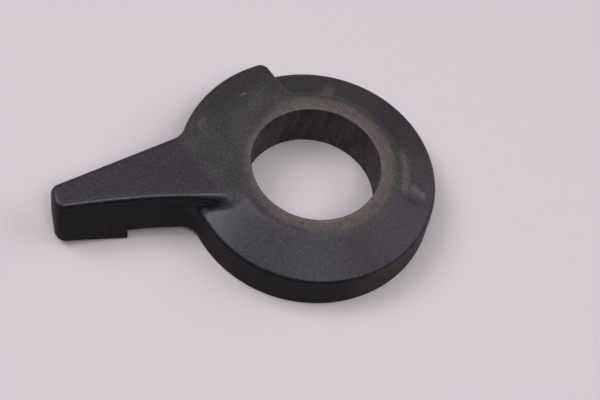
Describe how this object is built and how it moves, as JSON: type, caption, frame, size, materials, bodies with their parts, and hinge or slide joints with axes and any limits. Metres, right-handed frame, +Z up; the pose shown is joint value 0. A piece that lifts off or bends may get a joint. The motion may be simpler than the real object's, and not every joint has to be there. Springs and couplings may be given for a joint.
{
  "type": "ring lever",
  "caption": "Moulded plastic ring lever: a conical ring with a plain through bore, a raised stepped sector and a tapered arm for turning it on a round bar.",
  "frame": {"origin": "on the bore's axis, in the plane of the flat underside that the lever rests on", "axes": "+X along the arm from the bore to the tip, +Z up along the bore's axis towards the cone"},
  "size_m": [0.0669, 0.0444, 0.0104],
  "materials": {
    "black_plastic": "satin black, fine spark-eroded grain, dusty around the bore"
  },
  "bodies": {
    "root": {"ring_lever": "black_plastic"}
  },
  "joints": []
}
